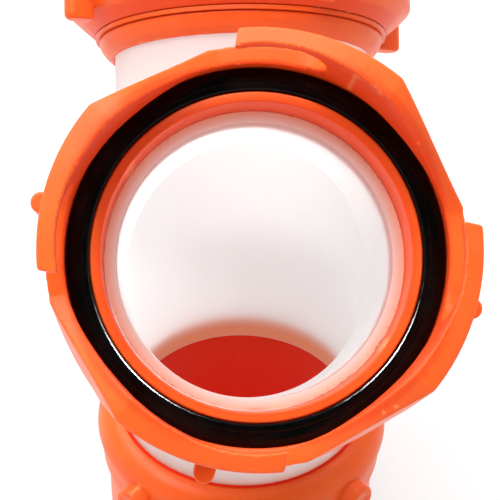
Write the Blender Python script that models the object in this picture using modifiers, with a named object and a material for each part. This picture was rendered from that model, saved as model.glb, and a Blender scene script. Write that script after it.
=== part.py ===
"""Symmetric wye fitting for a recreational-vehicle sewer hose.

A translucent wye tube carries a swivelling bayonet hook ring on each of its two
arms and a lug fitting on its stem.  The part stands on the stem's end face at
z = 0, the two arms rise at 45 degrees in the YZ plane.  Every arm and the stem
are drawn in their own frame, whose +Z runs along the tube away from the joint.
"""
import math

import bmesh
import bpy
from mathutils import Matrix, Vector

MM = 0.001
GAP = 0.3                       # working clearance between neighbouring pieces

# ---- tubes ---------------------------------------------------------------
BORE_R = 38.1                   # nominal three inch bore
TUBE_R = 41.2
ARM_TUBE = 80.0                 # joint to the end of each arm's tube
STEM_TUBE = 60.2
STEM_END = 100.0                 # joint to the stem's end face, the part's floor
SIDES = 48

# ---- swivel sleeve on an arm, distances from the joint ---------------------
SOCKET_R = TUBE_R + GAP
COLLAR_START, COLLAR_RIM = 72.0, 77.6
COLLAR_R0 = 42.6
NECK_R = 46.2
CLIP_GROOVE = (77.9, 79.7)
CLIP_GROOVE_R = 44.7
FLANGE = (88.4, 91.2)
FLANGE_R = 50.5
NOSE_R, NOSE_END = 44.3, 94.2
SEAL_GROOVE_R = 43.3

# ---- bayonet hook ring -----------------------------------------------------
RING_REAR, WALL_START, RING_FRONT = 79.7, 86.6, 121.3
RING_BORE_R = NECK_R + GAP
CONE_R0, CONE_R1 = 47.6, 55.3
HOOK_R, HOOK_RI = 56.2, 48.8    # hook walls before their inner faces are cut
FRONT_FALL = 0.27               # slope of the front faces, down towards the outside
RIM_R, RIM_TOP = 55.6, 98.8     # low rim between the hooks
CHAMBER_R = 50.9
HOOKS = 4
STEP_ANGLE = 97.0               # free end of each hook's arm, at its inner corner
STEP_R, STEP_LEAN = 50.0, 17.0  # radius of that corner, and the end face's tilt from radial
CORNER_ANGLE, RAMP_FOOT = 49.0, 11.0  # the wall ramps down from one to the other
INNER_WALL = ((8.0, 51.2), (14.0, 50.7), (20.0, 50.2), (25.0, 49.7), (30.0, 49.3), (36.0, 49.1),
              (43.0, 49.1), (49.0, 49.4), (55.0, 49.7), (61.0, 50.1), (67.0, 50.5), (72.0, 51.0),
              (77.0, 51.4), (82.0, 51.5), (87.0, 51.5), (92.0, 51.4))
FLAT_ANGLE = 26.5
FLAT_SPAN, FLAT_R = (86.0, 122.5), (55.8, 51.3)
SLOT = (RIM_TOP, 115.8)         # floor and ceiling of the lug slot
SLOT_END = -21.0                # blind end of the slot
RIB_ANGLE, RIB_R, RIB_W = 75.5, 61.8, 5.8
RIB_SPAN = (80.0, 95.0)
RIB_ROUND = 1.8                 # radius of each rib's lower outer corner

# ---- gasket, washer, clip --------------------------------------------------
GASKET_REAR, GASKET_FACE = FLANGE[1] + GAP, 94.8
GASKET_RI, GASKET_RO = NOSE_R + GAP, 50.5
CLIP_RI, CLIP_RO, CLIP_SLOT, CLIP_SLOT_ANGLE = 45.0, 47.4, 9.0, 200.0

# ---- lug sleeve on the stem ------------------------------------------------
DOME_START, DOME_RIM = 52.5, 62.3
DOME_R0, DOME_R1 = 42.7, 49.9
BASE_R, BASE_END = 48.5, 73.6
SPIGOT_R = 46.6
LUG_S, LUG_D, LUG_R = 66.0, 12.5, 54.6
LUG_ANGLES = (45.0, 135.0, 225.0, 315.0)

# swivel angle at which the ring on the far arm rests
RING_B_TURN = -49.5

for old in list(bpy.data.objects):
    bpy.data.objects.remove(old, do_unlink=True)

PARTS = bpy.data.collections.new("sewer_hose_wye")
CUTTERS = bpy.data.collections.new("cutters")
for group in (PARTS, CUTTERS):
    bpy.context.scene.collection.children.link(group)

# ---- frames ----------------------------------------------------------------
R2 = math.sqrt(0.5)
JOINT = Vector((0.0, 0.0, STEM_END))
DIR_A = Vector((0.0, -R2, R2))
DIR_B = Vector((0.0, R2, R2))
DOWN = Vector((0.0, 0.0, -1.0))


def frame(x_axis, y_axis, z_axis, at=0.0, turn=0.0):
    """Object matrix whose local z runs along z_axis; `at` moves its origin along it."""
    rot = Matrix((x_axis, y_axis, z_axis)).transposed().to_4x4()
    spot = (JOINT + z_axis * at) * MM
    return Matrix.Translation(spot) @ rot @ Matrix.Rotation(math.radians(turn), 4, 'Z')


XP = Vector((1.0, 0.0, 0.0))
FRAMES = {
    "a": lambda at=0.0, turn=0.0: frame(XP, DIR_B, DIR_A, at, turn),
    "b": lambda at=0.0, turn=0.0: frame(-XP, DIR_A, DIR_B, at, turn),
    "stem": lambda at=0.0, turn=0.0: frame(XP, Vector((0.0, -1.0, 0.0)), DOWN, at, turn),
}

# ---- materials -------------------------------------------------------------


def material(name, colour, roughness, metallic=0.0, transmission=0.0):
    mat = bpy.data.materials.new(name)
    mat.use_nodes = True
    mat.diffuse_color = (*colour, 1.0)
    shader = mat.node_tree.nodes["Principled BSDF"]
    shader.inputs["Base Color"].default_value = (*colour, 1.0)
    shader.inputs["Roughness"].default_value = roughness
    shader.inputs["Metallic"].default_value = metallic
    shader.inputs["Transmission Weight"].default_value = transmission
    return mat


ORANGE = (0.90, 0.13, 0.02)
MATERIALS = {
    "body": ((0.90, 0.90, 0.89), 0.25, 0.0, 0.3),
    "orange": (ORANGE, 0.28, 0.0, 0.0),
    "rubber": ((0.012, 0.012, 0.012), 0.22, 0.0, 0.0),
    "acetal": ((0.85, 0.85, 0.82), 0.35, 0.0, 0.0),
    "clip": ((0.62, 0.07, 0.015), 0.35, 0.0, 0.0),
}

# ---- geometry helpers ------------------------------------------------------


def add(name, mesh, matrix, look=None):
    obj = bpy.data.objects.new(name, mesh)
    obj.matrix_world = matrix
    if look:
        colour, rough, metal, trans = MATERIALS[look]
        mesh.materials.append(material(name + "_mat", colour, rough, metal, trans))
        PARTS.objects.link(obj)
    else:
        CUTTERS.objects.link(obj)
        obj.hide_render = True
        obj.display_type = 'WIRE'
    return obj


def revolve(name, profile, matrix, look=None, at=0.0, steps=SIDES):
    """Turn a closed (radius, distance) loop about local z."""
    mesh = bpy.data.meshes.new(name)
    verts = [(r * MM, 0.0, (s - at) * MM) for r, s in profile]
    n = len(verts)
    mesh.from_pydata(verts, [(i, (i + 1) % n) for i in range(n)], [])
    obj = add(name, mesh, matrix, look)
    turn = obj.modifiers.new("turn", 'SCREW')
    turn.axis = 'Z'
    turn.steps = turn.render_steps = steps
    turn.use_merge_vertices = True
    turn.merge_threshold = 0.0001
    return obj


def polar(radius, degrees):
    a = math.radians(degrees)
    return radius * math.cos(a), radius * math.sin(a)


def step_angle(radius, base=0.0):
    """Angle of a hook's leaning free end at this radius."""
    lean = (radius - STEP_R) * math.tan(math.radians(STEP_LEAN)) / radius
    return base + STEP_ANGLE - 90.0 - math.degrees(lean)


def prism(bm, outline, s_low, s_high):
    """Extrude a flat outline (list of x, y) along local z."""
    face = bm.faces.new([bm.verts.new((x * MM, y * MM, s_low * MM)) for x, y in outline])
    grown = bmesh.ops.extrude_face_region(bm, geom=[face])["geom"]
    verts = [v for v in grown if isinstance(v, bmesh.types.BMVert)]
    bmesh.ops.translate(bm, verts=verts, vec=(0.0, 0.0, (s_high - s_low) * MM))


def bridge(bm, sections):
    """Closed solid through a row of unlike sections, each a list of points in millimetres."""
    rows = [[bm.verts.new(Vector(point) * MM) for point in section] for section in sections]
    n = len(rows[0])
    bm.faces.new(rows[0])
    bm.faces.new(list(reversed(rows[-1])))
    for one, two in zip(rows, rows[1:]):
        for i in range(n):
            j = (i + 1) % n
            bm.faces.new((one[j], one[i], two[i], two[j]))


def solid(name, bm, matrix, look=None):
    bmesh.ops.recalc_face_normals(bm, faces=bm.faces)
    mesh = bpy.data.meshes.new(name)
    bm.to_mesh(mesh)
    bm.free()
    return add(name, mesh, matrix, look)


def turned(outline, degrees):
    c, s = math.cos(math.radians(degrees)), math.sin(math.radians(degrees))
    return [(x * c - y * s, x * s + y * c) for x, y in outline]


def boolean(obj, tool, operation='DIFFERENCE'):
    mod = obj.modifiers.new(tool.name, 'BOOLEAN')
    mod.operation = operation
    mod.solver = 'EXACT'
    mod.object = tool
    return mod


# ---- wye body --------------------------------------------------------------


def build_body():
    """Three equal tubes that start at the joint and run out along their own directions."""
    lengths = (("a", ARM_TUBE), ("b", ARM_TUBE), ("stem", STEM_TUBE))

    def rod(name, arm, radius, length, look=None):
        bm = bmesh.new()
        bmesh.ops.create_cone(bm, cap_ends=True, segments=SIDES, radius1=radius * MM,
                              radius2=radius * MM, depth=length * MM,
                              matrix=Matrix.Translation((0.0, 0.0, length / 2 * MM)))
        return solid(name, bm, FRAMES[arm](), look)

    body = rod("wye_body", "stem", TUBE_R, STEM_TUBE, "body")
    for arm, length in lengths[:2]:
        boolean(body, rod(f"tube_{arm}", arm, TUBE_R, length), 'UNION')
    for arm, length in lengths:
        boolean(body, rod(f"bore_{arm}", arm, BORE_R, length + 2.0))


# ---- one swivel fitting ----------------------------------------------------


def build_sleeve(arm):
    bulge = [(COLLAR_R0, COLLAR_START + 0.4), (44.3, 73.9), (45.5, 75.6), (NECK_R, COLLAR_RIM - 0.4)]
    outer = bulge + [
        (NECK_R, CLIP_GROOVE[0]), (CLIP_GROOVE_R, CLIP_GROOVE[0]),
        (CLIP_GROOVE_R, CLIP_GROOVE[1]), (NECK_R, CLIP_GROOVE[1]),
        (NECK_R, FLANGE[0]), (FLANGE_R, FLANGE[0]), (FLANGE_R, FLANGE[1]),
        (NOSE_R, FLANGE[1]), (NOSE_R, NOSE_END - 0.4), (NOSE_R - 0.4, NOSE_END)]
    inner = [(SOCKET_R + 0.5, NOSE_END), (SOCKET_R, NOSE_END - 0.5),
             (SOCKET_R, 76.5), (SEAL_GROOVE_R, 76.5), (SEAL_GROOVE_R, 74.2),
             (SOCKET_R, 74.2), (SOCKET_R, COLLAR_START)]
    loop = list(reversed(outer)) + [(COLLAR_R0 - 0.5, COLLAR_START)] + list(reversed(inner))
    return revolve(f"arm_{arm}_sleeve", loop, FRAMES[arm](), "orange")


def build_hook_ring(arm, turn=0.0):
    at = WALL_START
    here = FRAMES[arm](at, turn)
    shifted = here @ Matrix.Translation((0.0, 0.0, -at * MM))
    edge = RING_FRONT - FRONT_FALL * (HOOK_R - HOOK_RI)
    blank = [(HOOK_R - 0.6, edge + 0.16), (HOOK_R, edge - 0.6), (HOOK_R, RIM_TOP + 1.0),
             (RIM_R, RIM_TOP - 1.0), (RIM_R, WALL_START + 0.6), (CONE_R1, WALL_START),
             (CONE_R0, RING_REAR), (RING_BORE_R, RING_REAR), (RING_BORE_R, WALL_START),
             (CHAMBER_R, WALL_START), (CHAMBER_R, RIM_TOP - 0.6), (HOOK_RI, RIM_TOP + 1.2),
             (HOOK_RI, RING_FRONT)]
    ring = revolve(f"arm_{arm}_hook_ring", blank, here, "orange", at=at)

    bm = bmesh.new()
    half = RIB_W / 2.0
    rows = [(RIB_SPAN[0] + RIB_ROUND * (1.0 - math.cos(math.radians(t))),
             RIB_ROUND * (1.0 - math.sin(math.radians(t)))) for t in (0.0, 30.0, 60.0, 90.0)]
    rows.append((RIB_SPAN[1], 0.0))
    for k in range(HOOKS):
        sections = []
        for s, inset in rows:
            middle = RIB_R - inset - half
            cap = [(middle + half * math.cos(t), half * math.sin(t))
                   for t in [math.radians(d) for d in range(-90, 91, 30)]]
            outline = turned([(53.0, -half)] + cap + [(53.0, half)], RIB_ANGLE + 90.0 * k)
            sections.append([(x, y, s) for x, y in outline])
        bridge(bm, sections)
    boolean(ring, solid(f"ribs_{arm}", bm, shifted), 'UNION')

    # the wall's inner face swells and shrinks between the hooks
    inside = [polar(r, a + 90.0 * k) for k in range(HOOKS) for a, r in INNER_WALL]
    bm = bmesh.new()
    prism(bm, inside, RIM_TOP - 0.3, RING_FRONT + 1.0)
    boolean(ring, solid(f"inner_walls_{arm}", bm, shifted))

    # slightly tilted flats planed off the outside between the hooks
    bm = bmesh.new()
    for k in range(HOOKS):
        rows = []
        for s in FLAT_SPAN:
            rise = (s - FLAT_SPAN[0]) / (FLAT_SPAN[1] - FLAT_SPAN[0])
            d = FLAT_R[0] + (FLAT_R[1] - FLAT_R[0]) * rise
            side = step_angle(HOOK_R)
            near = polar(d / math.cos(math.radians(side - FLAT_ANGLE)), side)
            end = polar(d / math.cos(math.radians(36.0)), FLAT_ANGLE + 36.0)
            outline = [near, end, polar(75.0, FLAT_ANGLE + 36.0), polar(75.0, step_angle(75.0))]
            rows.append([(x, y, s) for x, y in turned(outline, 90.0 * k)])
        bridge(bm, rows)
    boolean(ring, solid(f"flats_{arm}", bm, shifted))
    boolean(ring, lug_slots(arm, shifted))
    return ring


def lug_slots(arm, place):
    """Cutter for the four L-shaped openings: an entry gap, then a slot under each hook arm."""
    mid, half = (SLOT[0] + SLOT[1]) / 2.0, (SLOT[1] - SLOT[0]) / 2.0
    round_deg = math.degrees(half / HOOK_R)
    over = RING_FRONT + 4.0
    spans = []                              # (angle at r 45, angle at r 64, low at each, high)
    for t in (4.0, 25.0, 45.0, 65.0, 90.0):         # rounded blind end of the slot
        rise = half * math.sin(math.radians(t))
        at = SLOT_END + round_deg * (1.0 - math.cos(math.radians(t)))
        spans.append((at, at, mid - rise, mid - rise, mid + rise))
    first, ends = spans[-1][0], (step_angle(45.0), step_angle(64.0))
    for i in range(1, 5):                           # the slot, turning to the free end's lean
        spans.append((*(first + (end - first) * i / 4.0 for end in ends), SLOT[0], *SLOT))
    spans.append((ends[0] + 0.4, ends[1] + 0.4, SLOT[0], SLOT[0], over))
    inner, outer = FRONT_FALL * (HOOK_RI - 45.0), FRONT_FALL * (HOOK_RI - 64.0)
    reach = CORNER_ANGLE - RAMP_FOOT
    for i in range(11):                             # the ramp back up to the next wall
        u = i / 10.0
        at = RAMP_FOOT + reach * u
        low = SLOT[0] + (RING_FRONT - SLOT[0]) * (u + u * u * (3.0 - 2.0 * u)) / 2.0
        spans.append((at, at, low + inner * u, low + outer * u, over))
    at, low = CORNER_ANGLE + 1.0, RING_FRONT + 0.8
    spans.append((at, at, low + inner, low + outer, over))
    bm = bmesh.new()
    for k in range(HOOKS):
        bridge(bm, [[(*polar(r, angle + 90.0 * k), s)
                     for r, angle, s in ((45.0, a, low), (64.0, b, out), (64.0, b, high), (45.0, a, high))]
                    for a, b, low, out, high in spans])
    return solid(f"lug_slots_{arm}", bm, place)


def build_small_parts(arm):
    place = FRAMES[arm]()
    revolve(f"arm_{arm}_gasket", [
        (46.9, GASKET_FACE), (47.6, 94.45), (49.5, 94.3), (GASKET_RO, 93.5),
        (GASKET_RO, GASKET_REAR), (GASKET_RI, GASKET_REAR), (GASKET_RI, 94.1),
        (45.1, GASKET_FACE)], place, "rubber")
    revolve(f"arm_{arm}_swivel_washer", [
        (FLANGE_R, FLANGE[0] - GAP), (FLANGE_R, WALL_START + GAP),
        (RING_BORE_R, WALL_START + GAP), (RING_BORE_R, FLANGE[0] - GAP)], place, "acetal")
    clip = revolve(f"arm_{arm}_retaining_clip", [
        (CLIP_RO, CLIP_GROOVE[1] - GAP), (CLIP_RO, CLIP_GROOVE[0] + GAP),
        (CLIP_RI, CLIP_GROOVE[0] + GAP), (CLIP_RI, CLIP_GROOVE[1] - GAP)], place, "clip")
    bm = bmesh.new()
    bmesh.ops.create_cube(bm, size=1.0, matrix=Matrix.Rotation(math.radians(CLIP_SLOT_ANGLE), 4, 'Z')
                          @ Matrix.Translation(Vector((45.0, 0.0, 79.0)) * MM)
                          @ Matrix.Diagonal((10.0 * MM, CLIP_SLOT * MM, 5.0 * MM, 1.0)))
    boolean(clip, solid(f"clip_slot_{arm}", bm, place))
    seal_ring(f"arm_{arm}_tube_seal", 75.35, place)


def seal_ring(name, at, place):
    centre, radius = (TUBE_R + SEAL_GROOVE_R) / 2.0, 0.75
    loop = [(centre + radius * math.cos(t), at + radius * math.sin(t))
            for t in [math.radians(90.0 - 60.0 * i) for i in range(6)]]
    return revolve(name, loop, place, "rubber", steps=36)


def build_stem():
    place = FRAMES["stem"]()
    dome = [(DOME_R0 + (DOME_R1 - DOME_R0) * math.sin(t * math.pi / 2),
             DOME_START + 0.6 + (DOME_RIM - DOME_START - 0.6) * (1 - math.cos(t * math.pi / 2)))
            for t in (0.0, 0.25, 0.5, 0.75, 1.0)]
    outer = dome + [
        (DOME_R1, DOME_RIM + 0.7), (BASE_R, DOME_RIM + 1.3), (BASE_R, BASE_END),
        (SPIGOT_R, BASE_END + 1.9), (SPIGOT_R, STEM_END - 0.8), (SPIGOT_R - 0.8, STEM_END)]
    inner = [(SOCKET_R + 0.5, STEM_END), (SOCKET_R, STEM_END - 0.5), (SOCKET_R, 57.8),
             (SEAL_GROOVE_R, 57.8), (SEAL_GROOVE_R, 55.5), (SOCKET_R, 55.5),
             (SOCKET_R, DOME_START)]
    loop = list(reversed(outer)) + [(DOME_R0 - 0.5, DOME_START)] + list(reversed(inner))
    sleeve = revolve("stem_lug_sleeve", loop, place, "orange")

    bm = bmesh.new()
    root = 44.5
    for angle in LUG_ANGLES:
        facing = Matrix.Rotation(math.radians(angle), 4, 'Z') @ Matrix.Rotation(math.pi / 2, 4, 'Y')
        spot = Matrix.Translation((0.0, 0.0, LUG_S * MM)) @ facing
        bmesh.ops.create_cone(bm, cap_ends=True, segments=20, radius1=LUG_D / 2 * MM,
                              radius2=LUG_D / 2 * MM, depth=(LUG_R - root) * MM,
                              matrix=spot @ Matrix.Translation((0.0, 0.0, (LUG_R + root) / 2 * MM)))
    lugs = solid("lugs", bm, place)
    soften = lugs.modifiers.new("round_edges", 'BEVEL')
    soften.width, soften.segments = 1.1 * MM, 2
    soften.limit_method, soften.angle_limit = 'ANGLE', math.radians(40)
    boolean(sleeve, lugs, 'UNION')
    seal_ring("stem_tube_seal", 56.65, place)


build_body()
for arm_name, swivel in (("a", 0.0), ("b", RING_B_TURN)):
    build_sleeve(arm_name)
    build_hook_ring(arm_name, swivel)
    build_small_parts(arm_name)
build_stem()

# bake each piece's modifiers and shade its round faces smooth
bpy.context.view_layer.update()
graph = bpy.context.evaluated_depsgraph_get()
for piece in PARTS.objects:
    baked = bpy.data.meshes.new_from_object(piece.evaluated_get(graph))
    baked.name = piece.name
    baked.shade_smooth()
    baked.set_sharp_from_angle(angle=math.radians(32))
    raw = piece.data
    piece.modifiers.clear()
    piece.data = baked
    bpy.data.meshes.remove(raw)
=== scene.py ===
"""Looks for the sewer hose wye fitting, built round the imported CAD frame.

Each fitting is redrawn at moulding detail in its own frame, whose +Z runs along the
tube away from the joint of the three tubes; distances are in millimetres from there.
"""
import math

import bmesh
import bpy
import numpy as np
from mathutils import Matrix, Vector


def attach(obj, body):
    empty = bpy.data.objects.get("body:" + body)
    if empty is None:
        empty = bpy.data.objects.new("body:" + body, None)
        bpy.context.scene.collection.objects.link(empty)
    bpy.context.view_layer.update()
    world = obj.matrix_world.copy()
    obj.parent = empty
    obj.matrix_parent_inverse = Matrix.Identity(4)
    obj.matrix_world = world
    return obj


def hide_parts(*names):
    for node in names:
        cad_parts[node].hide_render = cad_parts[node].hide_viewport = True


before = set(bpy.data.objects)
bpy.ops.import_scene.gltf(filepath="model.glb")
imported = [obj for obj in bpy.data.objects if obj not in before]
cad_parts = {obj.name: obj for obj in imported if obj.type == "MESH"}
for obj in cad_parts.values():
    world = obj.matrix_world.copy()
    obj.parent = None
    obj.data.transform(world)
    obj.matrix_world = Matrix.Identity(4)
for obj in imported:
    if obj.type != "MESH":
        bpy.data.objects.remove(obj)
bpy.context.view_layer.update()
MM = 0.001
scene = bpy.context.scene

# ---- frames ----------------------------------------------------------------
R2 = math.sqrt(0.5)
STEM_END = 100.0
JOINT = Vector((0.0, 0.0, STEM_END))
XP = Vector((1.0, 0.0, 0.0))
DIR = {"a": Vector((0.0, -R2, R2)), "b": Vector((0.0, R2, R2)), "stem": Vector((0.0, 0.0, -1.0))}


def placed(arm, turn=0.0):
    """Frame of a fitting at the joint of the tubes, turned about its tube by some degrees."""
    x_axis = -XP if arm == "b" else XP
    y_axis = {"a": DIR["b"], "b": DIR["a"], "stem": Vector((0.0, -1.0, 0.0))}[arm]
    rot = Matrix((x_axis, y_axis, DIR[arm])).transposed().to_4x4()
    return Matrix.Translation(JOINT * MM) @ rot @ Matrix.Rotation(math.radians(turn), 4, 'Z')


# ---- node materials --------------------------------------------------------

class Nodes:
    """A Principled material and short calls that add nodes to it."""

    def __init__(self, name):
        self.mat = bpy.data.materials.new(name)
        self.mat.use_nodes = True
        self.tree = self.mat.node_tree
        self.shader = self.tree.nodes["Principled BSDF"]
        self.out = self.tree.nodes["Material Output"]
        coord = self.tree.nodes.new("ShaderNodeTexCoord")
        self.place = coord.outputs["Object"]

    def link(self, source, target):
        self.tree.links.new(source, target)

    def noise(self, scale, detail=3.0, rough=0.5, stretch=None):
        """Noise with this many waves a metre."""
        node = self.tree.nodes.new("ShaderNodeTexNoise")
        node.inputs["Scale"].default_value = scale
        node.inputs["Detail"].default_value = detail
        node.inputs["Roughness"].default_value = rough
        where = self.place
        if stretch:
            mapping = self.tree.nodes.new("ShaderNodeMapping")
            mapping.inputs["Scale"].default_value = stretch
            self.link(where, mapping.inputs["Vector"])
            where = mapping.outputs["Vector"]
        self.link(where, node.inputs["Vector"])
        return node.outputs["Fac"]

    def ramp(self, source, low, high, lo_at=0.35, hi_at=0.65):
        """From low to high as the source goes from lo_at to hi_at."""
        node = self.tree.nodes.new("ShaderNodeMapRange")
        node.inputs["From Min"].default_value = lo_at
        node.inputs["From Max"].default_value = hi_at
        node.inputs["To Min"].default_value = low
        node.inputs["To Max"].default_value = high
        self.link(source, node.inputs["Value"])
        return node.outputs["Result"]

    def math(self, how, one, two):
        node = self.tree.nodes.new("ShaderNodeMath")
        node.operation = how
        for value, socket in ((one, node.inputs[0]), (two, node.inputs[1])):
            if isinstance(value, (int, float)):
                socket.default_value = value
            else:
                self.link(value, socket)
        return node.outputs[0]

    def colours(self, fac, one, two):
        node = self.tree.nodes.new("ShaderNodeMix")
        node.data_type = 'RGBA'
        self.link(fac, node.inputs["Factor"])
        for value, socket in ((one, node.inputs[6]), (two, node.inputs[7])):
            if isinstance(value, tuple):
                socket.default_value = (*value, 1.0)
            else:
                self.link(value, socket)
        return node.outputs[2]

    def bump(self, height, distance, below=None):
        """Bump of this many metres, laid over another bump."""
        node = self.tree.nodes.new("ShaderNodeBump")
        node.inputs["Strength"].default_value = 1.0
        node.inputs["Distance"].default_value = distance
        self.link(height, node.inputs["Height"])
        if below:
            self.link(below, node.inputs["Normal"])
        return node.outputs["Normal"]

    def attribute(self, name):
        node = self.tree.nodes.new("ShaderNodeAttribute")
        node.attribute_name = name
        return node.outputs["Fac"]

    def edges(self, low, high):
        """0 on flat faces, 1 on outer edges."""
        geometry = self.tree.nodes.new("ShaderNodeNewGeometry")
        return self.ramp(geometry.outputs["Pointiness"], 0.0, 1.0, low, high)

    def set(self, **values):
        """Set or link the Principled inputs of these names."""
        for key, value in values.items():
            socket = self.shader.inputs[key.replace("_", " ")]
            if isinstance(value, bpy.types.NodeSocket):
                self.link(value, socket)
            elif isinstance(value, tuple) and len(value) == 3 and socket.type == 'RGBA':
                socket.default_value = (*value, 1.0)
            else:
                socket.default_value = value


def orange_plastic(name="orange_plastic", edge_highlight=0.42):
    """Glossy moulded plastic: faint flow marks, orange-peel skin, fine handling scratches.

    Its last argument sets how strongly a painted highlight lightens its outer edges."""
    m = Nodes(name)
    flow = m.noise(45.0, 2.0, 0.5, (1.0, 1.0, 2.5))
    body = m.colours(m.ramp(flow, 0.0, 1.0), (0.90, 0.112, 0.015), (0.94, 0.130, 0.020))
    # painted shade: the stored amount darkens the orange to deep red in bores and inner walls, where
    # shade falls
    body = m.colours(m.attribute("painted_shade_and_glow"), body, (0.78, 0.020, 0.006))
    # painted highlight: outer edges turn paler, found by pointiness
    edge = m.edges(0.535, 0.59)
    body = m.colours(m.math('MULTIPLY', edge, edge_highlight), body, (1.0, 0.38, 0.14))
    scratch = m.ramp(m.noise(220.0, 2.0, 0.6, (1.0, 14.0, 1.0)), 0.0, 1.0, 0.64, 0.72)
    rough = m.ramp(m.noise(160.0, 4.0, 0.6), 0.30, 0.38)
    rough = m.math('ADD', rough, m.math('MULTIPLY', scratch, 0.08))
    peel = m.bump(m.noise(520.0, 2.0, 0.5), 0.000012)
    sink = m.bump(m.noise(42.0, 1.0, 0.4), 0.00006, peel)
    # less specular gloss where the painted shade lies
    gloss = m.ramp(m.attribute("painted_shade_and_glow"), 0.28, 0.04, 0.0, 1.0)
    m.set(Base_Color=body, Roughness=rough, Normal=sink, IOR=1.42, Specular_IOR_Level=gloss,
          Subsurface_Weight=0.18, Subsurface_Radius=(1.0, 0.2, 0.05), Subsurface_Scale=0.003)
    return m.mat


def milky_plastic():
    """Milky see-through plastic: light soaks through both skins of the wall; an orange glow from the
    sleeves is painted in.
    """
    m = Nodes("translucent_plastic")
    cloud = m.ramp(m.noise(26.0, 3.0, 0.5, (1.0, 1.0, 0.5)), 0.0, 1.0)
    tint = m.colours(cloud, (0.945, 0.943, 0.941), (0.955, 0.953, 0.951))
    # painted glow: orange light from the sleeves, painted into the wall's colour at the mouths and
    # where the sleeves cover it
    tint = m.colours(m.attribute("painted_shade_and_glow"), tint, (1.0, 0.40, 0.14))
    ripple = m.bump(m.noise(38.0, 1.0, 0.3), 0.0002, m.bump(m.noise(420.0, 2.0, 0.5), 0.000015))
    rough = m.ramp(m.noise(120.0, 3.0, 0.6), 0.12, 0.22)
    m.set(Base_Color=tint, Roughness=rough, Normal=ripple, IOR=1.45)
    through = m.tree.nodes.new("ShaderNodeBsdfTranslucent")
    m.link(tint, through.inputs["Color"])
    mix = m.tree.nodes.new("ShaderNodeMixShader")
    # the wall passes less light where the painted glow lies
    m.link(m.ramp(m.attribute("painted_shade_and_glow"), 0.78, 0.30, 0.0, 1.0), mix.inputs["Fac"])
    m.link(m.shader.outputs[0], mix.inputs[1])
    m.link(through.outputs[0], mix.inputs[2])
    m.link(mix.outputs[0], m.out.inputs["Surface"])
    return m.mat


def black_rubber():
    """Glossy seal rubber with a film of grease: fine specks and a soft haze."""
    m = Nodes("black_rubber")
    haze = m.ramp(m.noise(90.0, 4.0, 0.6), 0.0, 1.0)
    body = m.colours(haze, (0.0001, 0.0001, 0.0001), (0.0004, 0.0004, 0.0004))
    grease = m.noise(2400.0, 3.0, 0.65)
    rough = m.ramp(m.noise(300.0, 4.0, 0.6), 0.06, 0.12)
    skin = m.bump(grease, 0.00005, m.bump(m.noise(110.0, 2.0, 0.5), 0.00024))
    m.set(Base_Color=body, Roughness=rough, Normal=skin, IOR=1.5, Specular_IOR_Level=0.14)
    return m.mat


def satin_plastic(name, deep, light):
    """Smooth, barely glossy plastic between two tones."""
    m = Nodes(name)
    body = m.colours(m.ramp(m.noise(140.0, 4.0, 0.6), 0.0, 1.0), deep, light)
    m.set(Base_Color=body, Roughness=m.ramp(m.noise(240.0, 3.0, 0.5), 0.34, 0.5),
          Normal=m.bump(m.noise(900.0, 2.0, 0.5), 0.00004))
    return m.mat


ORANGE = orange_plastic()
# the clip takes no painted edge highlight
CLIP = orange_plastic("clip_plastic", edge_highlight=0.0)
MILKY = milky_plastic()
RUBBER = black_rubber()
ACETAL = satin_plastic("white_acetal", (0.72, 0.71, 0.68), (0.84, 0.83, 0.80))

# ---- geometry helpers ------------------------------------------------------

def rounded(loop, arc=5):
    """Closed (radius, distance[, fillet]) corners to a fine outline with those fillets."""
    points = [Vector((p[0], p[1])) for p in loop]
    out = []
    for i, corner in enumerate(loop):
        here, before, after = points[i], points[i - 1], points[(i + 1) % len(loop)]
        size = corner[2] if len(corner) > 2 else 0.0
        if size <= 0.0:
            out.append(tuple(here))
            continue
        to_b, to_a = (before - here).normalized(), (after - here).normalized()
        half = math.acos(max(-1.0, min(1.0, to_b.dot(to_a)))) / 2.0
        run = size / math.tan(half)
        centre = here + (to_b + to_a).normalized() * (size / math.sin(half))
        start, end = here + to_b * run - centre, here + to_a * run - centre
        sweep = start.angle_signed(end)
        for k in range(arc + 1):
            a = -sweep * k / arc
            c, s = math.cos(a), math.sin(a)
            out.append((centre.x + start.x * c - start.y * s, centre.y + start.x * s + start.y * c))
    return out


def mesh_object(name, verts, faces, matrix=None):
    mesh = bpy.data.meshes.new(name)
    mesh.from_pydata([tuple(v) for v in verts], [], faces)
    bm = bmesh.new()
    bm.from_mesh(mesh)
    bmesh.ops.recalc_face_normals(bm, faces=bm.faces)
    bm.to_mesh(mesh)
    bm.free()
    obj = bpy.data.objects.new(name, mesh)
    scene.collection.objects.link(obj)
    if matrix is not None:
        obj.matrix_world = matrix
    return obj


def turned_piece(name, loop, matrix, steps=192):
    """Turn a closed (radius, distance) outline about local z."""
    n = len(loop)
    verts = []
    for i in range(steps):
        a = 2.0 * math.pi * i / steps
        verts += [(r * math.cos(a) * MM, r * math.sin(a) * MM, s * MM) for r, s in loop]
    faces = []
    for i in range(steps):
        j = (i + 1) % steps
        faces += [(i * n + k, i * n + (k + 1) % n, j * n + (k + 1) % n, j * n + k) for k in range(n)]
    return mesh_object(name, verts, faces, matrix)


def lofted(name, sections, matrix):
    """Closed solid through sections of equal point count, in millimetres."""
    n = len(sections[0])
    verts = [Vector(p) * MM for section in sections for p in section]
    faces = [tuple(range(n)), tuple(reversed(range((len(sections) - 1) * n, len(sections) * n)))]
    for i in range(len(sections) - 1):
        for k in range(n):
            m = (k + 1) % n
            faces.append((i * n + m, i * n + k, (i + 1) * n + k, (i + 1) * n + m))
    return mesh_object(name, verts, faces, matrix)


def polar(radius, degrees, s=None):
    """Point at this radius and angle, with its distance s along the tube if given."""
    a = math.radians(degrees)
    flat = (radius * math.cos(a), radius * math.sin(a))
    return flat if s is None else (*flat, s)


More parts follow.
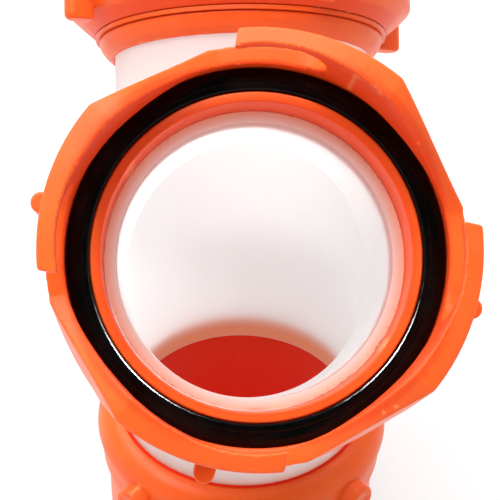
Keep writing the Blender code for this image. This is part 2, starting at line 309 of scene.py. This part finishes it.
def store_painted_light(obj, amount):
    """Store per vertex how strongly painted shade (on the orange pieces) and painted orange glow (on
    the milky tube) apply, from its place in millimetres.
    """
    place = np.array([v.co for v in obj.data.vertices]) / MM - np.array(JOINT)
    layer = obj.data.attributes.new("painted_shade_and_glow", 'FLOAT', 'POINT')
    layer.data.foreach_set("value", np.clip(amount(place), 0.0, 1.0).astype(np.float32))


def along(place, arm):
    """Distances from the joint along an arm, and from its axis."""
    s = place @ np.array(DIR[arm])
    return s, np.linalg.norm(place - np.outer(s, DIR[arm]), axis=1)


def modify(obj, kind, **values):
    mod = obj.modifiers.new(kind.lower(), kind)
    for key, value in values.items():
        setattr(mod, key, value)
    return mod


def bake(obj):
    """Apply every modifier and put the mesh in the row frame."""
    bpy.context.view_layer.update()
    graph = bpy.context.evaluated_depsgraph_get()
    mesh = bpy.data.meshes.new_from_object(obj.evaluated_get(graph))
    mesh.transform(obj.matrix_world)
    obj.modifiers.clear()
    obj.data = mesh
    obj.matrix_world = Matrix.Identity(4)
    return obj


def combine(obj, tools):
    """Boolean each (tool, operation) into obj, then remove the tools."""
    for tool, how in tools:
        modify(obj, 'BOOLEAN', operation=how, solver='EXACT', object=tool)
    bake(obj)
    for tool, _ in tools:
        bpy.data.objects.remove(tool, do_unlink=True)
    return obj


def smooth_shade(obj, degrees=35.0):
    obj.data.shade_smooth()
    obj.data.set_sharp_from_angle(angle=math.radians(degrees))


def soften(obj, voxel, rounds, keep):
    """Remesh to even cells and relax, which gives every edge a small moulded radius."""
    modify(obj, 'REMESH', mode='VOXEL', voxel_size=voxel * MM, use_smooth_shade=True)
    modify(obj, 'SMOOTH', factor=0.5, iterations=rounds)
    modify(obj, 'DECIMATE', ratio=keep)
    bake(obj)


def finish(obj, material, body, slot, *nodes):
    """Give a piece its material and body, in place of these CAD nodes; slot is not used."""
    obj.data.materials.clear()
    obj.data.materials.append(material)
    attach(obj, body)
    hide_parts(*nodes)
    return obj


# ---- dimensions shared by the fittings ---------------------------------------
BORE_R, TUBE_R, SOCKET_R = 38.1, 41.2, 41.5
ARM_TUBE, STEM_TUBE = 80.0, 60.2        # from the joint of the tubes to their ends
O_RING_R = 43.3                         # bottom of the O-ring grooves

# ---- wye body --------------------------------------------------------------
# how strongly the painted orange glow shows at the mouths, and where the sleeves cover the arms'
# walls and the stem's
FACE_GLOW, ARM_GLOW, STEM_GLOW = 0.62, 0.12, 0.85


def run_together(name, radius, lengths, voxel=1.1, rounds=70):
    """One solid of three equal tubes, relaxed so that their junctions flow into each other."""
    verts, faces, n = [], [], 128
    for arm, length in lengths.items():
        base = len(verts)
        for s in (-1.0, length):
            verts += [placed(arm) @ (Vector(polar(radius, 360.0 * i / n, s)) * MM) for i in range(n)]
        faces += [tuple(base + i for i in range(n)), tuple(base + n + i for i in reversed(range(n)))]
        faces += [(base + i, base + (i + 1) % n, base + n + (i + 1) % n, base + n + i)
                  for i in range(n)]
    solid = mesh_object(name, verts, faces)
    modify(solid, 'REMESH', mode='VOXEL', voxel_size=voxel * MM, use_smooth_shade=True)
    bake(solid)

    co = np.array([v.co for v in solid.data.vertices]) / MM - np.array(JOINT)
    past = np.max([co @ np.array(DIR[arm]) - min(length - 34.0, 40.0)
                   for arm, length in lengths.items()], axis=0)
    weight = np.clip(1.0 - past / 18.0, 0.0, 1.0)
    weight = weight * weight * (3.0 - 2.0 * weight)
    group = solid.vertex_groups.new(name="junction")
    for i in np.nonzero(weight)[0]:
        group.add([int(i)], float(weight[i]), 'ADD')
    modify(solid, 'SMOOTH', factor=0.5, iterations=rounds, vertex_group="junction")
    bake(solid)

    # true the tubes away from the junction: exact radius and flat end faces
    co = np.array([v.co for v in solid.data.vertices]) / MM - np.array(JOINT)
    for arm, length in lengths.items():
        axis = np.array(DIR[arm])
        s = co @ axis
        out = co - np.outer(s, axis)
        r = np.linalg.norm(out, axis=1)
        on_wall = np.abs(r - radius) < 0.55 * voxel
        t = np.clip((s - min(length - 18.0, 58.0)) / 12.0, 0.0, 1.0) * on_wall
        scale = (r + (radius - r) * t) / np.maximum(r, 1e-6)
        co = np.where((t > 0.0)[:, None], np.outer(s, axis) + out * scale[:, None], co)
        at_end = (s > length - 0.6 * voxel) & (r < radius + voxel)
        co = np.where(at_end[:, None], co + np.outer(length - s, axis), co)
    solid.data.vertices.foreach_set("co", ((co + np.array(JOINT)) * MM).astype(np.float32).ravel())
    solid.data.update()
    return solid


def build_body():
    """Milky wye tube with its walls cut square at the three ends."""
    lengths = {"a": ARM_TUBE, "b": ARM_TUBE, "stem": STEM_TUBE}
    body = run_together("wye_tube", TUBE_R, lengths)
    longer = {arm: length + 4.0 for arm, length in lengths.items()}
    bore = run_together("bore", BORE_R, longer, rounds=150)
    combine(body, [(bore, 'DIFFERENCE')])
    smooth_shade(body, 40.0)

    def glow_behind_sleeves(place):
        """The painted orange glow at the mouths and where the orange sleeves cover the wall."""
        total = 0.0
        for arm, start, end, deep in (("a", 70.5, ARM_TUBE, ARM_GLOW),
                                      ("b", 70.5, ARM_TUBE, ARM_GLOW),
                                      ("stem", 49.5, STEM_TUBE, STEM_GLOW)):
            s, r = along(place, arm)
            wall = np.clip((s - start) / 7.0, 0.0, 1.0)
            at_face = (s > end - 0.3) | ((s > end - 1.8) & (r > 39.6))
            face = np.clip((r - BORE_R + 0.4) / (TUBE_R - BORE_R), 0.0, 1.0)
            covered = deep * wall * wall * (3.0 - 2.0 * wall)
            total = total + np.where(at_face, FACE_GLOW * face, covered)
        return total

    store_painted_light(body, glow_behind_sleeves)
    finish(body, MILKY, "wye", "translucent_plastic", "wye_body")


# ---- swivel fitting on an arm ------------------------------------------------


def build_sleeve(arm):
    """Collar, clip groove, neck, seal flange and the nose round the tube's mouth."""
    loop = rounded([
        (42.1, 72.0, 0.2), (42.7, 72.3, 0.5), (44.4, 73.8, 2.0), (45.7, 75.6, 2.0), (46.2, 77.2, 0.3),
        (46.2, 77.9, 0.2), (44.7, 77.9), (44.7, 79.7), (46.2, 79.7, 0.2),
        (46.2, 88.4), (50.5, 88.4, 0.3), (50.5, 91.2, 0.3),
        (44.3, 91.2), (44.3, 94.2, 0.7), (SOCKET_R, 94.2, 0.55),
        (SOCKET_R, 76.5), (O_RING_R, 76.5), (O_RING_R, 74.2), (SOCKET_R, 74.2),
        (SOCKET_R, 72.0, 0.2)])
    piece = turned_piece(f"sleeve_{arm}", loop, placed(arm))
    bake(piece)
    smooth_shade(piece)
    # painted shade on the sleeve's bore inside the nose
    store_painted_light(piece, lambda place: 0.3 * (along(place, arm)[1] < 42.2))
    finish(piece, ORANGE, "wye", "orange_plastic", f"arm_{arm}_sleeve")


def build_gasket(arm):
    """Face seal: flat sealing land, two fine moulded lines, a rounded outer edge."""
    loop = rounded([
        (44.6, 91.5, 0.2), (44.6, 94.55, 0.35), (45.1, 94.8, 0.3), (46.5, 94.8, 0.3),
        (46.8, 94.55, 0.12), (47.1, 94.62, 0.12), (48.9, 94.52, 0.2), (49.15, 94.25, 0.12),
        (49.6, 94.2, 0.3), (50.5, 93.5, 0.5), (50.5, 91.5, 0.2)])
    piece = turned_piece(f"gasket_{arm}", loop, placed(arm))
    bake(piece)
    smooth_shade(piece)
    finish(piece, RUBBER, "wye", "black_rubber", f"arm_{arm}_gasket")


# ---- bayonet hook ring -----------------------------------------------------
HOOKS, QUARTER = 4, 90.0
RIM_TOP, FRONT = 98.8, 121.3            # floor of the entry gaps, tops of the hooks
SLOT_TOP = 115.8                        # underside of the hook arms
RING_R, RING_IR = 56.2, 48.8            # outside of the hooks, inside of the blank
CUT_IR, CUT_R = 45.0, 64.0              # radii that the slot cutters span
LIFT_IN, DROP_OUT = 1.03, -4.1          # height of the sloping front face at those radii
# the inner wall's radius by angle over one quarter turn
WALL = ((8.0, 51.2), (14.0, 50.7), (20.0, 50.2), (25.0, 49.7), (30.0, 49.3), (36.0, 49.1),
        (43.0, 49.1), (49.0, 49.4), (55.0, 49.7), (61.0, 50.1), (67.0, 50.5), (72.0, 51.0),
        (77.0, 51.4), (82.0, 51.5), (87.0, 51.5), (92.0, 51.4))


def step_angle(radius):
    """Angle of a hook's free end at this radius: it leans 17 degrees from radial."""
    return 7.0 - math.degrees((radius - 50.0) * math.tan(math.radians(17.0)) / radius)


def build_hook_ring(arm, turn):
    """Turned blank with ribs, cut by the inner walls, the outer flats and the lug slots."""
    here = placed(arm, turn)
    blank = rounded([
        (RING_R, FRONT - 2.0, 0.6), (RING_R, RIM_TOP + 1.0), (55.6, RIM_TOP - 1.0), (55.6, 87.2),
        (55.3, 86.6), (47.6, 79.7), (46.5, 79.7), (46.5, 86.6), (50.9, 86.6), (50.9, RIM_TOP - 0.6),
        (RING_IR, RIM_TOP + 1.2), (RING_IR, FRONT)])
    ring = turned_piece(f"hook_ring_{arm}", blank, here, 144)
    tools = []

    for k in range(HOOKS):
        c, s = polar(1.0, 75.5 + QUARTER * k)
        sections = []
        for at, inset in [(80.0 + 1.8 * (1.0 - math.cos(t)), 1.8 * (1.0 - math.sin(t)))
                          for t in np.radians(np.arange(0, 91, 15))] + [(95.0, 0.0)]:
            outline = [(53.0, -2.9)] + [(58.9 - inset + 2.9 * math.cos(t), 2.9 * math.sin(t))
                                        for t in np.radians(np.arange(-90, 91, 15))] + [(53.0, 2.9)]
            sections.append([(x * c - y * s, x * s + y * c, at) for x, y in outline])
        tools.append((lofted("rib", sections, here), 'UNION'))

    inside = [polar(r, a + QUARTER * k) for k in range(HOOKS) for a, r in WALL]
    rows = [[(x, y, s) for x, y in inside] for s in (RIM_TOP - 0.3, FRONT + 1.0)]
    tools.append((lofted("inner_walls", rows, here), 'DIFFERENCE'))

    for k in range(HOOKS):
        rows = []
        for s, d in ((86.0, 55.8), (122.5, 51.3)):
            side = step_angle(RING_R)
            rows.append([polar(d / math.cos(math.radians(side - 26.5)), side + QUARTER * k, s),
                         polar(d / math.cos(math.radians(36.0)), 62.5 + QUARTER * k, s),
                         polar(75.0, 62.5 + QUARTER * k, s),
                         polar(75.0, step_angle(75.0) + QUARTER * k, s)])
        tools.append((lofted("flat", rows, here), 'DIFFERENCE'))

    # an entry gap with its ramp, then a slot with a round blind end under each hook arm
    # each span: angles at the two cutter radii, heights of the floor there, and the top
    mid, rad = (RIM_TOP + SLOT_TOP) / 2.0, (SLOT_TOP - RIM_TOP) / 2.0
    over = FRONT + 4.0
    blind = [(-21.0 + math.degrees(rad / RING_R) * (1.0 - math.cos(t)), t)
             for t in np.radians((3, 12, 24, 36, 48, 60, 72, 90))]
    spans = [(at, at, mid - rad * math.sin(t), mid - rad * math.sin(t), mid + rad * math.sin(t))
             for at, t in blind]
    first, ends = spans[-1][0], (step_angle(CUT_IR), step_angle(CUT_R))
    spans += [(*(first + (end - first) * i / 6.0 for end in ends), RIM_TOP, RIM_TOP, SLOT_TOP)
              for i in range(1, 7)]
    spans.append((ends[0] + 0.2, ends[1] + 0.2, RIM_TOP, RIM_TOP, over))
    for i in range(39):
        u = i / 38.0
        low = RIM_TOP + (FRONT - RIM_TOP) * (u + u * u * (3.0 - 2.0 * u)) / 2.0
        spans.append((11.0 + i, 11.0 + i, low + LIFT_IN * u, low + DROP_OUT * u, over))
    spans.append((50.0, 50.0, FRONT + 1.83, FRONT - 3.3, over))
    for k in range(HOOKS):
        rows = [[polar(r, angle + QUARTER * k, s) for r, angle, s in
                 ((CUT_IR, a, low), (CUT_R, b, out), (CUT_R, b, high), (CUT_IR, a, high))]
                for a, b, low, out, high in spans]
        tools.append((lofted("slot", rows, here), 'DIFFERENCE'))
    combine(ring, tools)
    soften(ring, 0.42, 5, 0.45)
    smooth_shade(ring, 60.0)
    # painted shade on the hook ring's inner walls, deepening towards the axis
    store_painted_light(ring, lambda place: 0.4 * np.clip((52.0 - along(place, arm)[1]) / 1.2, 0.0, 1.0))
    finish(ring, ORANGE, f"hook_ring_{arm}", "orange_plastic", f"arm_{arm}_hook_ring")


# ---- lug sleeve on the stem ------------------------------------------------
LUG_R, LUG_TOP, LUG_EDGE = 6.25, 54.6, 1.3    # lug radius, height from the axis, rounding


def build_stem():
    """Domed collar and spigot with four round lugs."""
    dome = [(42.7 + 7.2 * math.sin(t * math.pi / 2), 53.1 + 9.2 * (1 - math.cos(t * math.pi / 2)))
            for t in np.linspace(0.0, 1.0, 14)]
    loop = dome + rounded([
        (49.9, 63.0, 0.3), (48.5, 63.6, 0.3), (48.5, 73.6, 0.6), (46.6, 75.5, 0.6),
        (46.6, 100.0, 0.8),
        (SOCKET_R, 100.0, 0.5), (SOCKET_R, 57.8), (O_RING_R, 57.8), (O_RING_R, 55.5),
        (SOCKET_R, 55.5), (SOCKET_R, 52.5, 0.2), (42.3, 52.5, 0.3)])
    piece = turned_piece("lug_sleeve", loop, placed("stem"), 144)
    tools = []
    for angle in (45.0, 135.0, 225.0, 315.0):
        facing = Matrix.Rotation(math.radians(angle), 4, 'Z') @ Matrix.Rotation(math.pi / 2, 4, 'Y')
        spot = placed("stem") @ Matrix.Translation((0.0, 0.0, 66.0 * MM)) @ facing
        edge = [(LUG_TOP - LUG_EDGE + LUG_EDGE * math.sin(t),
                 LUG_R - LUG_EDGE + LUG_EDGE * math.cos(t)) for t in np.radians(np.arange(0, 91, 15))]
        tall = [(44.5, LUG_R), *edge, (LUG_TOP, 3.3), (LUG_TOP - 0.4, 2.7)]
        tools.append((lofted("lug", [[polar(r, 360.0 * i / 64, h) for i in range(64)]
                                     for h, r in tall], spot), 'UNION'))
    combine(piece, tools)
    smooth_shade(piece)

    def inside_end(place):
        """Painted shade: 1 on the inner wall, short of the open end."""
        s, r = along(place, "stem")
        return (r < 42.6) & (s < 99.8)

    store_painted_light(piece, inside_end)
    finish(piece, ORANGE, "wye", "orange_plastic", "stem_lug_sleeve")


build_body()
for arm_name, swivel in (("a", 0.0), ("b", -49.5)):
    build_sleeve(arm_name)
    build_gasket(arm_name)
    build_hook_ring(arm_name, swivel)
build_stem()

# inner pieces keep their CAD shape and take a finished material
FINISHES = {"tube_seal": RUBBER, "swivel_washer": ACETAL, "retaining_clip": CLIP}
for node_name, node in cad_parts.items():
    for ending, look in FINISHES.items():
        if node_name.endswith(ending):
            for slot in node.material_slots:
                slot.material = look

# ---- camera ----------------------------------------------------------------
camera_data = bpy.data.cameras.new("camera")
camera_data.sensor_width = 36.0
camera_data.lens = 115.2
camera_data.clip_start, camera_data.clip_end = 0.01, 50.0
camera = bpy.data.objects.new("camera", camera_data)
ahead = Vector((0.04060, 0.76478, -0.64301)).normalized()
up = Vector((0.01114, 0.64315, 0.76566))
up = (up - ahead * up.dot(ahead)).normalized()
camera.matrix_world = (Matrix.Translation((-0.019088, -0.390624, 0.441010))
                       @ Matrix((ahead.cross(up), up, -ahead)).transposed().to_4x4())
scene.collection.objects.link(camera)
scene.camera = camera

# ---- pale floor and soft studio light ----------------------------------------
floor = mesh_object("floor", [(-6, -6, -0.0005), (6, -6, -0.0005), (6, 6, -0.0005), (-6, 6, -0.0005)],
                    [(0, 1, 2, 3)])
paper = Nodes("floor_paper")
paper.set(Base_Color=(0.25, 0.25, 0.25), Roughness=0.9, Specular_IOR_Level=0.0,
          Emission_Color=(1.0, 1.0, 1.0), Emission_Strength=0.70)
floor.data.materials.append(paper.mat)

world = bpy.data.worlds.new("studio")
scene.world = world
world.use_nodes = True
tree = world.node_tree
where = tree.nodes.new("ShaderNodeTexCoord")
dot = tree.nodes.new("ShaderNodeVectorMath")
dot.operation = 'DOT_PRODUCT'
dot.inputs[1].default_value = Vector((0.0, -0.64, 0.77)).normalized()
tree.links.new(where.outputs["Generated"], dot.inputs[0])
dim = tree.nodes.new("ShaderNodeMapRange")        # the unlit part of the room, high in front
dim.interpolation_type = 'SMOOTHSTEP'
for key, value in (("From Min", 0.55), ("From Max", 0.94), ("To Min", 0.76), ("To Max", 0.03)):
    dim.inputs[key].default_value = value
tree.links.new(dot.outputs["Value"], dim.inputs["Value"])
tree.links.new(dim.outputs["Result"], tree.nodes["Background"].inputs["Strength"])
tree.nodes["Background"].inputs["Color"].default_value = (1.0, 1.0, 1.0, 1.0)


def softbox(name, place, aim, size, watts, only=None):
    """Area lamp aimed at a point; only is a collection that says what it lights."""
    data = bpy.data.lights.new(name, 'AREA')
    data.shape, data.size, data.size_y, data.energy = 'RECTANGLE', size[0], size[1], watts
    lamp = bpy.data.objects.new(name, data)
    lamp.location = place
    lamp.rotation_euler = (Vector(aim) - Vector(place)).to_track_quat('-Z', 'Y').to_euler()
    scene.collection.objects.link(lamp)
    if only:
        lamp.light_linking.receiver_collection = only


# the greased seals take their glints from two small lamps, not from the broad one
seals, all_but_seals = (bpy.data.collections.new(name) for name in ("seals", "all_but_seals"))
for arm_name in "ab":
    for group in (seals, all_but_seals):
        group.objects.link(bpy.data.objects[f"gasket_{arm_name}"])
for member in all_but_seals.collection_objects:
    member.light_linking.link_state = 'EXCLUDE'
softbox("key", (-0.35, 0.15, 1.6), (0.0, 0.0, 0.1), (1.8, 1.8), 56.0, all_but_seals)
softbox("glint_left", (-0.61, -0.08, 1.02), (0.0, -0.1, 0.13), (0.26, 0.26), 105.0, seals)
softbox("glint_right", (0.61, -0.08, 1.02), (0.0, -0.1, 0.13), (0.26, 0.26), 105.0, seals)

scene.view_settings.view_transform = 'Standard'
